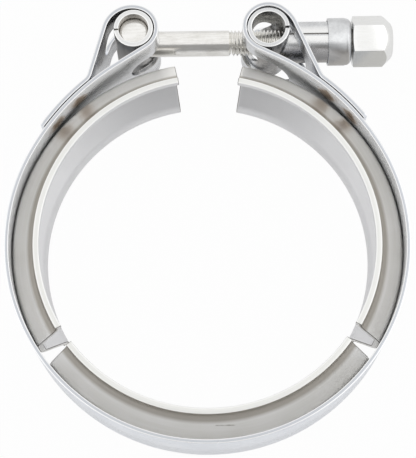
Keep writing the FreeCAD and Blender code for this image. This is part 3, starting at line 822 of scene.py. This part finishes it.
@dataclass
class StrapHalf:
    """One half of the strap: ring, flare, loop round the trunnion, leg and welded tail.

    Angles are those of a half on the right of the ring; on the left everything is mirrored.
    """

    side: int
    trunnion: Vector
    hug_radius: float
    flare_rise: float
    flare_run: float
    crown_radius: float
    crown_angle: float
    leg_angle: float
    tail_length: float
    slot_width: float
    slot_setback: float
    slot_drop: float
    ring_radius: float = 47.15
    width: float = 22.0
    gauge: float = 1.0
    tail_gap: float = 0.25
    tail_bend: float = 3.3
    edge_round: float = 0.08
    overlap: float = 1.0
    cut_slack: float = 0.0005
    mark_inset: float = 1.25
    slot_cut: float = 2.5
    slot_clearance: float = 10.0
    slot_step: int = 15
    slot_last_angle: int = 30

    def __post_init__(self) -> None:
        """Work out the tangent points, as the strap's own bending would give them."""
        self.flare_radius = self.ring_radius + self.flare_rise
        self.tail_radius = self.flare_radius + self.gauge + self.tail_gap
        span = self.trunnion.length
        apart_squared = (self.flare_radius + self.hug_radius) ** 2 + self.flare_run ** 2
        lean = (apart_squared - span ** 2 - self.flare_rise ** 2) / (2 * self.flare_rise * span)
        trunnion_angle = angle_of(self.trunnion)
        self.flare_start = trunnion_angle - math.degrees(math.acos(lean))
        self.flare_centre = polar(-self.flare_rise, self.flare_start)
        apart = self.trunnion - self.flare_centre
        reach = (self.flare_radius + self.hug_radius) / apart.length
        self.flare_end = angle_of(apart) - math.degrees(math.acos(reach))
        self.line_end = self.trunnion - polar(self.hug_radius, self.flare_end)
        self.line_back = polar(1, self.flare_end - 90)
        crown_centre = self.trunnion + polar(self.hug_radius - self.crown_radius, self.crown_angle)
        self.leg_top = crown_centre + polar(self.crown_radius, self.leg_angle)
        self.leg_side = polar(1, self.leg_angle)
        self.leg_down = polar(1, self.leg_angle - 90)
        shifted = self.leg_top - self.flare_centre + self.leg_side * self.tail_bend
        along = shifted.dot(self.leg_down)
        bend_reach = self.tail_radius + self.tail_bend
        self.leg_length = -along - math.sqrt(along ** 2 - shifted.dot(shifted) + bend_reach ** 2)
        to_bend = shifted + self.leg_down * self.leg_length
        self.tail_start = angle_of(to_bend)
        self.tail_turn = math.degrees(self.tail_length / self.tail_radius)

    def place(self, point: Vector) -> Vector:
        """Return a point of this half in the frame, in millimetres."""
        return Vector((point.x * self.side, point.y, point.z))

    def weld_places(self, setbacks: Iterable[float], edge: float) -> list[Vector]:
        """Return where the tail's spot welds tint the ring's inner side, in metres.

        Args:
            setbacks: Distances of the welds from the tail's end.
            edge: Their distance from the strap's edges.

        Returns:
            The middles of the tints.
        """
        places = []
        for setback in setbacks:
            turn = self.tail_turn - math.degrees(setback / self.tail_radius)
            on_strap = self.flare_centre + polar(self.flare_radius - self.mark_inset,
                                                 self.tail_start - turn)
            for height in (edge, self.width - edge):
                places.append((self.place(on_strap) + UP * height) * MM)
        return places

    def bent_sheet(self, name: str) -> tuple[Object, SheetBender]:
        """Bend the strip from just past the ring's bottom to the end of the tail.

        Args:
            name: Name of the piece.

        Returns:
            The open sheet and the bender that knows its stretches.
        """
        left = float(self.side)
        heading = (0.0 if self.side > 0 else 180.0) - left * self.overlap
        start = polar(self.ring_radius, -90 - left * self.overlap)
        bender = SheetBender(name, start, heading, 0.0, self.width)
        bender.start()
        bender.bend(self.ring_radius, left * (90 + self.overlap + self.flare_start))
        bender.bend(self.flare_radius, left * (self.flare_end - self.flare_start))
        bender.run(self.flare_run)
        bender.bend(self.hug_radius, -left * (self.flare_end + 180 - self.crown_angle))
        bender.bend(self.crown_radius, -left * (self.crown_angle - self.leg_angle))
        bender.run(self.leg_length)
        bender.bend(self.tail_bend, left * (self.tail_start - self.leg_angle))
        bender.bend(self.tail_radius, -left * self.tail_turn)
        return bender.finish(), bender

    def cut_off(self, sheet: Object) -> None:
        """Cut the strip square where it meets the other half at the ring's bottom.

        Args:
            sheet: The thickened strap half.
        """
        edit(sheet)
        bpy.ops.mesh.bisect(plane_co=(0, 0, 0), plane_no=(self.side, 0, 0), threshold=ON_PLANE)
        bpy.ops.mesh.select_all(action="DESELECT")
        leave_edit()
        bottom = (self.gauge - self.ring_radius) * MM
        beyond = -self.cut_slack * MM
        for vertex in sheet.data.vertices:
            vertex.select = vertex.co.y < bottom and vertex.co.x * self.side < beyond
        bpy.ops.object.mode_set(mode="EDIT")
        bpy.ops.mesh.delete(type="VERT")
        bpy.ops.mesh.select_non_manifold()
        bpy.ops.mesh.edge_face_add()
        leave_edit()
        clean(sheet)

    def slot_tools(self) -> list[Object]:
        """Make the bodies that cut the round-ended slot from the flare over the loop to the leg.

        Returns:
            The closed bodies, one after the other to be cut away.
        """
        cut = self.slot_cut
        step = self.slot_step
        flare_side = polar(1, self.flare_end)
        near = self.line_end + self.line_back * (self.slot_setback - self.slot_width / 2)
        far = self.leg_top + self.leg_down * (self.slot_drop - self.slot_width / 2)
        outline = [near + flare_side * cut, near - flare_side * cut]
        start = outline[1] - self.trunnion
        first = angle_of(start) % 360
        for angle in range(math.floor(first / step) * step, self.slot_last_angle - 1, -step):
            outline.append(self.trunnion + polar(self.hug_radius + self.slot_clearance, angle))
        outline += [far + self.leg_side * cut, far - self.leg_side * cut]
        low = UP * ((self.width - self.slot_width) / 2)
        corners = [(self.place(point) + low) * MM for point in outline]
        tools = [prism("slot_tool", corners, UP * (self.slot_width * MM))]
        middle = UP * (self.width / 2)
        for centre, side in ((near, flare_side), (far, self.leg_side)):
            foot = self.place(centre - side * cut) + middle
            tools.append(cylinder(foot, self.place(side), 0, 2 * cut, self.slot_width / 2,
                                  SMALL_STEPS))
        return tools

    def build(self, name: str, material: Material) -> Object:
        """Model this half of the strap and return it finished.

        Args:
            name: Name of the piece.
            material: The piece's finish.

        Returns:
            The strap half, in place.
        """
        sheet, bender = self.bent_sheet(name)
        thicken(sheet, self.gauge, self.edge_round)
        self.cut_off(sheet)
        for tool in self.slot_tools():
            carve(sheet, tool)
        bender.record_places(sheet, self.gauge, 1)
        dress(sheet, material)
        return sheet


@dataclass
class Retainer:
    """A roll-formed V section, bent round its span of the ring."""

    start: float
    end: float
    gauge: float = 1.5
    width: float = 22.0
    outer_radius: float = 46.6
    lip_inner_radius: float = 39.5
    lip_height: float = 2.2
    bend: float = 2.4
    flank_angle: float = 50.0
    grain_lean: float = 0.6
    edge_round: float = 0.22

    def middle_line(self) -> list[Vector]:
        """Return the section's middle line as points of radius and height, in millimetres.

        Returns:
            The points, from the upper lip to the lower one.
        """
        lip = self.lip_inner_radius + self.gauge / 2
        root = self.outer_radius - self.gauge / 2
        foot = self.width - self.lip_height
        drop = (root - lip) / math.tan(math.radians(self.flank_angle))
        setback = self.bend * math.tan(math.radians(self.flank_angle / 2))
        lip_centre = Vector((lip + self.bend, foot + setback, 0))
        root_centre = Vector((root - self.bend, foot - drop - setback, 0))
        turns = [self.flank_angle * k / BEND_STEPS for k in range(BEND_STEPS + 1)]
        upper = [Vector((lip, self.width, 0))]
        upper += [lip_centre + polar(self.bend, 180 + turn) for turn in turns]
        upper += [root_centre + polar(self.bend, turn) for turn in reversed(turns)]
        lower = [Vector((point.x, self.width - point.y, 0)) for point in reversed(upper)]
        return upper + lower

    def build(self, name: str, material: Material) -> Object:
        """Model the retainer and return it finished.

        Args:
            name: Name of the piece.
            material: The piece's finish.

        Returns:
            The retainer, in place.
        """
        section = self.middle_line()
        across = polar(1, self.start)
        points = [(across * point.x + UP * point.y) * MM for point in section]
        sheet = draw_line(name, points)
        span = self.end - self.start
        bpy.ops.mesh.spin(steps=round(span), angle=-math.radians(span), center=(0, 0, 0), axis=UP)
        leave_edit()
        thicken(sheet, self.gauge, self.edge_round)
        middle = (self.start + self.end) / 2
        write_attribute(sheet, "run", lambda point: self.arc_place(point, middle))
        write_attribute(sheet, "across",
                        lambda point: self.grain_lean * point.z + Vector(point.xy).length)
        lip = self.lip_inner_radius + self.gauge / 2
        write_attribute(sheet, "through",
                        lambda point: (Vector(point.xy).length / MM - lip) * 2 / self.gauge)
        dress(sheet, material)
        return sheet

    def arc_place(self, point: Vector, middle: float) -> float:
        """Return how far round the ring a point lies from the retainer's middle, in metres.

        Args:
            point: The place in metres.
            middle: The angle of the retainer's middle.

        Returns:
            The length of the arc, positive anticlockwise.
        """
        turn = angle_of(point) - middle
        turn = (turn + 180) % 360 - 180
        return math.radians(turn) * self.outer_radius * MM


@dataclass
class RolledTube:
    """A strip rolled into a tube round an upright axis, with an open seam."""

    axis: Vector
    length: float
    outer_radius: float
    wall: float
    seam: float
    seam_angle: float
    edge_round: float = 0.16

    def roll(self, name: str, foot: float) -> tuple[Object, SheetBender]:
        """Roll the tube from a height upwards and return it with what bent it.

        Args:
            name: Name of the piece.
            foot: Height of the tube's lower end in millimetres.

        Returns:
            The tube and the bender that knows its stretches.
        """
        middle = self.outer_radius - self.wall / 2
        half_gap = math.degrees(self.seam / middle) / 2
        first = self.seam_angle + half_gap
        start = Vector((self.axis.x, self.axis.y, 0)) + polar(middle, first)
        bender = SheetBender(name, start, first + 90, foot, self.length)
        bender.start()
        bender.bend(middle, 360 - 2 * half_gap)
        tube = bender.finish()
        thicken(tube, self.wall, self.edge_round)
        return tube, bender


@dataclass
class TrunnionSleeve(RolledTube):
    """The rolled sleeve in the left loop, with its seam and the hole for the shank."""

    length: float = 22.0
    outer_radius: float = 4.8
    wall: float = 1.2
    seam: float = 0.35
    seam_angle: float = 184.0
    hole_radius: float = 3.475
    hole_reach: float = 7.8

    def build(self, name: str, material: Material) -> Object:
        """Model the sleeve and return it finished.

        Args:
            name: Name of the piece.
            material: The piece's finish.

        Returns:
            The sleeve, in place.
        """
        sleeve, bender = self.roll(name, 0.0)
        middle = self.axis + UP * (self.length / 2)
        carve(sleeve, cylinder(middle, ALONG_BOLT, 0, self.hole_reach, self.hole_radius,
                               SMALL_STEPS))
        bender.record_places(sleeve, self.wall, -1)
        dress(sleeve, material)
        return sleeve


@dataclass
class TBolt:
    """T-bolt: a cross bar in the sleeve, a plain shank and a rolled 28-per-inch thread."""

    axis: Vector
    reach: float = 63.4
    thread_start: float = 23.3
    radius: float = 3.175
    pitch: float = 25.4 / 28
    thread_height: float = 0.5
    thread_steps: int = 36
    thread_lead: float = 2.0
    point: float = 0.9
    point_lead: float = 0.2
    point_depth: float = 0.1
    root_clearance: float = 0.05
    clearance: float = 0.5
    bar_radius: float = 3.6
    bar_length: float = 17.2
    bar_round: float = 0.7

    def bar(self) -> Object:
        """Make the cross bar with rounded ends.

        Returns:
            The bar, upright in the sleeve.
        """
        half = self.bar_length / 2
        ends = [(half - self.bar_round + polar(self.bar_round, angle).y,
                 self.bar_radius - self.bar_round + polar(self.bar_round, angle).x)
                for angle in range(0, 91, 15)]
        profile = [(-half, 0)] + [(-along, radius) for along, radius in reversed(ends)]
        profile += ends + [(half, 0)]
        return lathe("t_bolt_dressed", profile, self.axis, UP, SMALL_STEPS)

    def shank(self) -> Object:
        """Make the plain part of the shank, tapered into the thread's root.

        Returns:
            The shank, along the bolt's axis.
        """
        root = self.radius - self.thread_height
        profile = [(0, 0), (0, self.radius), (self.thread_start, self.radius),
                   (self.thread_start + self.pitch / 2, root - self.root_clearance),
                   (self.thread_start + self.pitch / 2, 0)]
        return lathe("shank", profile, self.axis, ALONG_BOLT, SMALL_STEPS)

    def thread(self) -> Object:
        """Make the thread: one ridge, swept as a screw and closed at both ends.

        Returns:
            The closed thread, which reaches to the bolt's end.
        """
        root = self.radius - self.thread_height
        ridge = [(0.0, 0.0), (0.08, 0.0), (0.4, 0.9), (0.46, 1.0), (0.56, 1.0), (0.62, 0.9),
                 (0.92, 0.0), (1.0, 0.0)]
        length = self.reach - self.thread_start
        turns = math.floor(length / self.pitch) - 1
        points = [Vector((along * self.pitch, root + height * self.thread_height, 0)) * MM
                  for along, height in ridge]
        piece = draw_line("thread", points)
        leave_edit()
        add_modifier(piece, "SCREW", axis="X", screw_offset=self.pitch * MM, iterations=turns,
                     steps=self.thread_steps, render_steps=self.thread_steps,
                     use_merge_vertices=True, merge_threshold=MERGE * MM,
                     use_smooth_shade=False)
        edit(piece)
        bpy.ops.mesh.remove_doubles(threshold=MERGE * MM)
        bpy.ops.mesh.select_all(action="DESELECT")
        bpy.ops.mesh.select_non_manifold()
        bpy.ops.mesh.fill_holes(sides=0)
        bpy.ops.mesh.select_all(action="SELECT")
        bpy.ops.mesh.normals_make_consistent(inside=False)
        shift = self.axis + ALONG_BOLT * (self.reach - (turns + 1) * self.pitch)
        bpy.ops.transform.translate(value=shift * MM)
        leave_edit()
        return piece

    def build(self, material: Material) -> Object:
        """Join bar, shank and thread into one piece and return it finished.

        Args:
            material: The piece's finish.

        Returns:
            The T-bolt, in place.
        """
        piece = self.bar()
        carve(piece, self.shank(), "UNION")
        tip = self.reach - self.point
        root = self.radius - self.thread_height
        thread = self.thread()
        first, beyond = self.thread_start - self.thread_lead, self.radius + self.clearance
        limit = [(first, 0), (first, beyond), (tip + self.point_lead, beyond),
                 (self.reach, root - self.point_depth), (self.reach, 0)]
        carve(thread, lathe("point_tool", limit, self.axis, ALONG_BOLT, SMALL_STEPS), "INTERSECT")
        carve(piece, thread, "UNION")
        dress(piece, material, 28)
        return piece


@dataclass
class TubeTrunnion(RolledTube):
    """The right trunnion: a rolled cross tube with a seamed neck for the bolt."""

    length: float = 21.0
    outer_radius: float = 5.15
    wall: float = 1.1
    seam: float = 0.5
    seam_angle: float = 0.0
    neck_radius: float = 5.1
    neck_root: float = 2.0
    neck_reach: float = 19.75
    neck_seam: float = 0.42
    seam_depth: float = 0.9
    seam_tilt: float = 3.0
    far_hole_radius: float = 4.5
    far_hole_lift: float = 42.0
    far_hole_reach: float = 9.0
    tool_reach: float = 30.0

    def build(self, name: str, material: Material) -> Object:
        """Model the trunnion and return it finished.

        Args:
            name: Name of the piece.
            material: The piece's finish.

        Returns:
            The trunnion, in place.
        """
        tube, _ = self.roll(name, self.axis.z - self.length / 2)
        bore = self.outer_radius - self.wall
        neck_bore = self.neck_radius - self.wall
        carve(tube, cylinder(self.axis, ALONG_BOLT, self.neck_root, self.neck_reach,
                             self.neck_radius), "UNION")
        carve(tube, cylinder(self.axis, UP, -self.length, self.length, bore))
        carve(tube, cylinder(self.axis, ALONG_BOLT, 0.0, self.tool_reach, neck_bore))
        hole, lifted = (cylinder(self.axis, direction, 0.0, self.far_hole_reach,
                                 self.far_hole_radius)
                        for direction in (-ALONG_BOLT, polar(1, 180.0 - self.far_hole_lift)))
        carve(hole, lifted, "UNION")
        carve(tube, hole)
        carve(tube, self.seam_tool())
        write_attribute(tube, "through", self.depth_in_wall)
        dress(tube, material)
        return tube

    def depth_in_wall(self, point: Vector) -> float:
        """Return -1 on the inside of the tube or its neck, 1 on the outside, and between.

        Args:
            point: The place in metres.

        Returns:
            The place in the wall.
        """
        away = point / MM - self.axis
        depth = Vector(away.xy).length - self.outer_radius
        if depth > 0.01:
            depth = Vector(away.yz).length - self.neck_radius
        return 1 + 2 * depth / self.wall

    def seam_tool(self) -> Object:
        """Make the thin blade that opens the neck's lengthwise seam.

        Returns:
            The blade, tilted as the seam is.
        """
        deselect_all()
        bpy.ops.mesh.primitive_cube_add(size=1)
        blade = bpy.context.object
        thickness = 2.0
        first = self.outer_radius - self.wall
        lift = self.neck_radius - self.seam_depth + thickness / 2
        tilt = Matrix.Rotation(-math.radians(self.seam_tilt), 4, "X")
        place = Matrix.Translation(self.axis * MM) @ tilt
        place = place @ Matrix.Translation(Vector((first + self.tool_reach / 2, 0, lift)) * MM)
        size = (self.tool_reach * MM, self.neck_seam * MM, thickness * MM, 1)
        blade.matrix_world = place @ Matrix.Diagonal(size)
        bpy.ops.object.transform_apply(location=True, rotation=True, scale=True)
        return blade


@dataclass
class CupWasher:
    """The drawn cup over the neck's end, with a step and a rounded corner."""

    foot: Vector
    length: float = 5.8
    outer_radius: float = 5.9
    wall: float = 0.55
    floor: float = 0.8
    corner: float = 1.3
    inner_corner: float = 0.5
    inner_cut: float = 0.15
    rim_break: float = 0.08
    step: float = 0.12
    step_start: float = 0.35
    step_end: float = 0.1
    hole_radius: float = 3.325

    def build(self, name: str, material: Material) -> Object:
        """Model the cup and return it finished.

        Args:
            name: Name of the piece.
            material: The piece's finish.

        Returns:
            The cup, in place.
        """
        inner = self.outer_radius - self.wall
        bend = self.length - self.corner
        stepped = self.outer_radius - self.step
        profile = [(0.0, inner), (0.0, self.outer_radius - self.rim_break),
                   (self.rim_break, self.outer_radius),
                   (bend - self.step_start, self.outer_radius), (bend - self.step_end, stepped)]
        for angle in range(90, -1, -10):
            point = polar(self.corner, angle)
            profile.append((bend + point.x, stepped - self.corner + point.y))
        inside = self.length - self.floor
        profile += [(self.length, self.hole_radius), (inside, self.hole_radius),
                    (inside, inner - self.inner_corner),
                    (inside - self.inner_cut, inner - self.inner_cut),
                    (inside - self.inner_corner, inner), (0.0, inner)]
        cup = lathe(name, profile, self.foot, ALONG_BOLT)
        dress(cup, material)
        return cup


@dataclass
class HexNut:
    """A long hexagon nut, deeply chamfered at its free end, with a threaded bore."""

    foot: Vector
    flats: float = 11.11
    length: float = 10.0
    corner_angle: float = 13.0
    end_chamfer: float = 2.2
    end_radius: float = 4.3
    crown: float = 0.35
    face_radius: float = 3.6
    seat_chamfer: float = 0.3
    seat_radius: float = 5.5
    bore_radius: float = 2.975
    relief: float = 0.5
    edge_round: float = 0.16

    def blank(self, name: str) -> Object:
        """Make the hexagon bar, cut to length.

        Args:
            name: Name of the piece.

        Returns:
            The bar, with sharp edges.
        """
        corner = self.flats / math.sqrt(3)
        points = []
        for index in range(7):
            turn = math.radians(self.corner_angle + 60 * index)
            offset = Vector((0, corner * math.cos(turn), corner * math.sin(turn)))
            points.append((self.foot + offset) * MM)
        return prism(name, points, ALONG_BOLT * (self.length * MM))

    def build(self, name: str, material: Material) -> Object:
        """Model the nut and return it finished.

        Args:
            name: Name of the piece.
            material: The piece's finish.

        Returns:
            The nut, in place.
        """
        corner = self.flats / math.sqrt(3)
        beyond = corner + 1.0
        seat_run = self.seat_chamfer * (beyond - self.seat_radius) / (corner - self.seat_radius)
        end_run = self.end_chamfer * (beyond - self.end_radius) / (corner - self.end_radius)
        shoulder = self.length - self.crown
        envelope = [(0, 0), (0, self.seat_radius), (seat_run, beyond),
                    (shoulder - end_run, beyond), (shoulder, self.end_radius),
                    (self.length, self.face_radius), (self.length, 0)]
        nut = self.blank(name)
        carve(nut, lathe("chamfer_tool", envelope, self.foot, ALONG_BOLT), "INTERSECT")
        round_edges(nut, self.edge_round, degrees=20)
        flared = self.bore_radius + self.relief + 1
        bore = [(-1, 0), (-1, flared), (self.relief, self.bore_radius),
                (self.length - self.relief, self.bore_radius), (self.length + 1, flared),
                (self.length + 1, 0)]
        carve(nut, lathe("bore_tool", bore, self.foot, ALONG_BOLT, SMALL_STEPS))
        dress(nut, material, 28)
        return nut


@dataclass
class Clamp:
    """The whole clamp: places its pieces by the frame and reports each one."""

    weld_setbacks: Range = (3.4, 11.4)
    weld_edge: float = 4.0
    weld_mark_reach: Triple = (2.9, 2.9, 2.9)
    weld_mark_depth: float = 0.9
    hinge_reach: float = 1.7
    # Painted shade of the dent in the bottom retainer's flank: a dark line with a lighter rim.
    dent_shade_radius: float = 43.1
    dent_shade_angle: float = 273.6
    dent_shade_height: float = 17.6
    dent_shade_reach: Triple = (3.8, 0.24, 1.0)

    def __post_init__(self) -> None:
        """Read the trunnions' places from the frame."""
        low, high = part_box("trunnion_sleeve")
        self.left_axis = Vector(((low.x + high.x) / 2, (low.y + high.y) / 2, 0)) / MM
        self.mid_height = (low.z + high.z) / 2 / MM
        low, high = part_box("tube_trunnion")
        tube_radius = (high.y - low.y) / 2
        self.right_axis = Vector((low.x + tube_radius, (low.y + high.y) / 2, 0)) / MM

    def strap_halves(self) -> dict[str, StrapHalf]:
        """Return the two halves of the strap by name.

        Returns:
            The halves, not yet built.
        """
        left = Vector((-self.left_axis.x, self.left_axis.y, 0))
        return {
            "band_left": StrapHalf(
                side=-1, trunnion=left, hug_radius=5.55, flare_rise=11.1, flare_run=8.7,
                crown_radius=6.9, crown_angle=108.0, leg_angle=16.0, tail_length=15.3,
                slot_width=7.2, slot_setback=4.9, slot_drop=3.1),
            "band_right": StrapHalf(
                side=1, trunnion=self.right_axis.copy(), hug_radius=5.9, flare_rise=9.9,
                flare_run=4.9, crown_radius=9.0, crown_angle=55.0, leg_angle=23.0,
                tail_length=13.9, slot_width=10.8, slot_setback=9.1, slot_drop=8.5),
        }

    def build_strap(self) -> None:
        """Build both strap halves in the band's stead and report each one."""
        halves = self.strap_halves()
        marks = []
        for half in halves.values():
            places = half.weld_places(self.weld_setbacks, self.weld_edge)
            marks += [Mark(place, self.weld_mark_reach, depth=self.weld_mark_depth)
                      for place in places]
        material = replace(STRIP_FINISH, marks=tuple(marks)).build()
        for name, half in halves.items():
            piece = half.build(name, material)
            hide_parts("band")
            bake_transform(piece)
            report(piece)

    def build_retainers(self) -> None:
        """Build the three retainers, with a dent's painted shade in the flank of the bottom one."""
        # Painted shade: a dark line where the bottom retainer's flank is dented.
        centre = polar(self.dent_shade_radius, self.dent_shade_angle) + UP * self.dent_shade_height
        dent_shade = Mark(centre * MM, self.dent_shade_reach, "#4E463D", "#8F877B")
        material = replace(RETAINER_FINISH, marks=(dent_shade,)).build()
        spans = {
            "left": ("left_arm", 99.2, 210.5),
            "bottom": ("clamp_base", 216.6, 323.8),
            "right": ("right_arm", 329.3, 438.7),
        }
        for side, (body, start, end) in spans.items():
            piece = Retainer(start, end).build(f"retainer_{side}_dressed", material)
            mount(piece, f"retainer_{side}", body)

    def build_closure(self) -> None:
        """Build the trunnions, the T-bolt, the cup washer and the nut."""
        centre_height = UP * self.mid_height
        bolt_axis = self.left_axis + centre_height
        cup_foot, nut_foot = (Vector(((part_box(node)[0] / MM).x, bolt_axis.y, bolt_axis.z))
                              for node in ("cup_washer", "nut"))
        tube = TubeTrunnion(self.right_axis + centre_height)
        rolled, rod, formed, drawn, bar = (finish.build() for finish in (
            SLEEVE_FINISH, ROD_FINISH, TUBE_FINISH, CUP_FINISH, NUT_FINISH))
        pieces = [
            (TrunnionSleeve(self.left_axis).build("trunnion_sleeve_dressed", rolled),
             "trunnion_sleeve", "bolt"),
            (TBolt(bolt_axis).build(rod), "t_bolt", "bolt"),
            (tube.build("tube_trunnion_dressed", formed), "tube_trunnion", "right_trunnion"),
            (CupWasher(cup_foot).build("cup_washer_dressed", drawn), "cup_washer", "washer"),
            (HexNut(nut_foot).build("nut_dressed", bar), "nut", "nut_body"),
        ]
        for piece, node, body in pieces:
            mount(piece, node, body)


def report(piece: Object) -> None:
    """Log a finished piece with its number of faces."""
    LOG.info("%s: %d faces", piece.name, len(piece.data.polygons))


def mount(piece: Object, node: str, body: str) -> None:
    """Put a piece in its CAD node's stead, let it ride on a body and report it.

    Args:
        piece: The piece.
        node: Name of the CAD node.
        body: Name of the body in the frame.
    """
    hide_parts(node)
    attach(piece, body)
    report(piece)


@dataclass(frozen=True)
class Lamp:
    """A soft square lamp that hangs at a place, in metres, and faces the clamp."""

    name: str
    place: Triple
    size: float
    power: float

    def hang(self) -> None:
        """Put the lamp in the scene."""
        data = bpy.data.lights.new(self.name, "AREA")
        data.size = self.size
        data.energy = self.power
        lamp = bpy.data.objects.new(self.name, data)
        bpy.context.scene.collection.objects.link(lamp)
        lamp.location = self.place
        lamp.rotation_euler = (-Vector(self.place)).to_track_quat("-Z", "Y").to_euler()


@dataclass
class Studio:
    """White floor and surroundings, soft lamps and the camera at the photograph's angle.

    The camera's offset is in millimetres; the floor's, the card's and the lamps' sizes are in
    metres.
    """

    tilt: float = 14.75
    roll: float = 0.78
    lens: float = 123.2
    sensor: float = 36.0
    nearest: float = 0.01
    offset: Triple = (0.17, 8.08, 388.0)
    world_light: float = 0.7
    white: tuple[float, float, float, float] = (1.0, 1.0, 1.0, 1.0)
    floor_size: float = 3.0
    floor_drop: float = 0.02
    floor_paint: float = 0.8
    floor_glow: float = 0.97
    floor_mirrored: float = 0.55
    card_place: Triple = (0.0, -0.9, 0.96)
    card_size: Range = (3.0, 1.88)
    card_paint: str = "#BEBEBE"
    card_fade: Range = (0.08, 0.5)
    lamps: tuple[Lamp, ...] = (Lamp("lamp_left", (-0.42, 0.0, 0.6), 0.6, 0.3),
                               Lamp("lamp_right", (0.42, 0.05, 0.6), 0.6, 0.45))

    def camera(self) -> None:
        """Place the camera above the clamp, looking down at it a little from the front."""
        tilt = Matrix.Rotation(math.radians(self.tilt), 4, "X")
        roll = Matrix.Rotation(-math.radians(self.roll), 4, "Z")
        data = bpy.data.cameras.new("camera")
        data.lens = self.lens
        data.sensor_fit = "VERTICAL"
        data.sensor_height = self.sensor
        data.clip_start = self.nearest
        data.dof.use_dof = False
        camera = bpy.data.objects.new("camera", data)
        bpy.context.scene.collection.objects.link(camera)
        camera.matrix_world = tilt @ Matrix.Translation(Vector(self.offset) * MM) @ roll
        bpy.context.scene.camera = camera

    @staticmethod
    def ray_shares(tree: NodeTree) -> tuple[NodeSocket, NodeSocket]:
        """Return 1 for rays from the camera, and 1 for reflected or transmitted rays.

        Args:
            tree: The node tree that is being filled.

        Returns:
            Both shares, the camera's first.
        """
        rays = add_node(tree, "LightPath").outputs
        mirrored = calculate(tree, "MAXIMUM", rays["Is Glossy Ray"], rays["Is Transmission Ray"])
        return rays["Is Camera Ray"], mirrored

    def surroundings(self) -> None:
        """Make the world white where it is seen or mirrored and soft where it lights."""
        world = bpy.data.worlds.new("studio")
        bpy.context.scene.world = world
        tree = empty_tree(world)
        seen, light = (add_node(tree, "Background", {"Color": self.white, "Strength": strength})
                       for strength in (1.0, self.world_light))
        white = calculate(tree, "MAXIMUM", *self.ray_shares(tree))
        add_node(tree, "OutputWorld", {"Surface": mix_shaders(tree, white, light, seen)})

    @staticmethod
    def plane(name: str, paint: str, size: float, place: Sequence[float],
              lean: float = 0.0) -> tuple[Object, NodeTree]:
        """Add a square with a fresh material and return it with the material's empty tree.

        Args:
            name: Name of the square.
            paint: Name of its material.
            size: Length of its side in metres.
            place: Its middle in metres.
            lean: Degrees by which its far side is raised.

        Returns:
            The square and the material's node tree.
        """
        deselect_all()
        bpy.ops.mesh.primitive_plane_add(size=size, location=place,
                                         rotation=(math.radians(lean), 0, 0))
        plane = bpy.context.object
        plane.name = name
        material = bpy.data.materials.new(paint)
        plane.data.materials.append(material)
        return plane, empty_tree(material)

    def floor(self) -> None:
        """Lay the pale floor under the clamp; it shows white and keeps the clamp's shadow."""
        floor, tree = self.plane("floor", "white_floor", self.floor_size,
                                 (0, 0, -self.floor_drop * MM))
        grey = (self.floor_paint, self.floor_paint, self.floor_paint, 1)
        paint = add_node(tree, "BsdfDiffuse", {"Color": grey})
        glow = add_node(tree, "Emission", {"Color": self.white, "Strength": 1.0})
        seen, mirrored = self.ray_shares(tree)
        mirror_share = calculate(tree, "MULTIPLY", mirrored, self.floor_mirrored)
        share = calculate(tree, "MULTIPLY_ADD", seen, self.floor_glow, mirror_share)
        add_node(tree, "OutputMaterial", {"Surface": mix_shaders(tree, share, paint, glow)})

    def card(self) -> None:
        """Stand a dark card on the near side, faded at its ends; only reflections show it."""
        card, tree = self.plane("dark_card", "dark_card_paint", 1.0, self.card_place, 90)
        card.scale = (*self.card_size, 1.0)
        paint = add_node(tree, "BsdfDiffuse", {"Color": hex_colour(self.card_paint)})
        clear = add_node(tree, "BsdfTransparent")
        side = add_node(tree, "SeparateXYZ", {0: object_place(tree)}).outputs["X"]
        fade = ramp(tree, calculate(tree, "ABSOLUTE", side), *self.card_fade,
                    interpolation_type="SMOOTHSTEP")
        add_node(tree, "OutputMaterial", {"Surface": mix_shaders(tree, fade, paint, clear)})
        for seen in ("camera", "diffuse", "shadow"):
            setattr(card, f"visible_{seen}", False)

    def build(self) -> None:
        """Set up the world, the floor, the card, the lamps and the camera."""
        self.surroundings()
        self.floor()
        self.card()
        for lamp in self.lamps:
            lamp.hang()
        self.camera()
        bpy.context.scene.view_settings.view_transform = "Standard"


def main() -> None:
    """Build the clamp and its studio."""
    logging.basicConfig(level=logging.INFO, format="%(name)s %(message)s")
    clamp = Clamp()
    clamp.build_strap()
    clamp.build_retainers()
    clamp.build_closure()
    Studio().build()


if __name__ == "__main__":
    main()
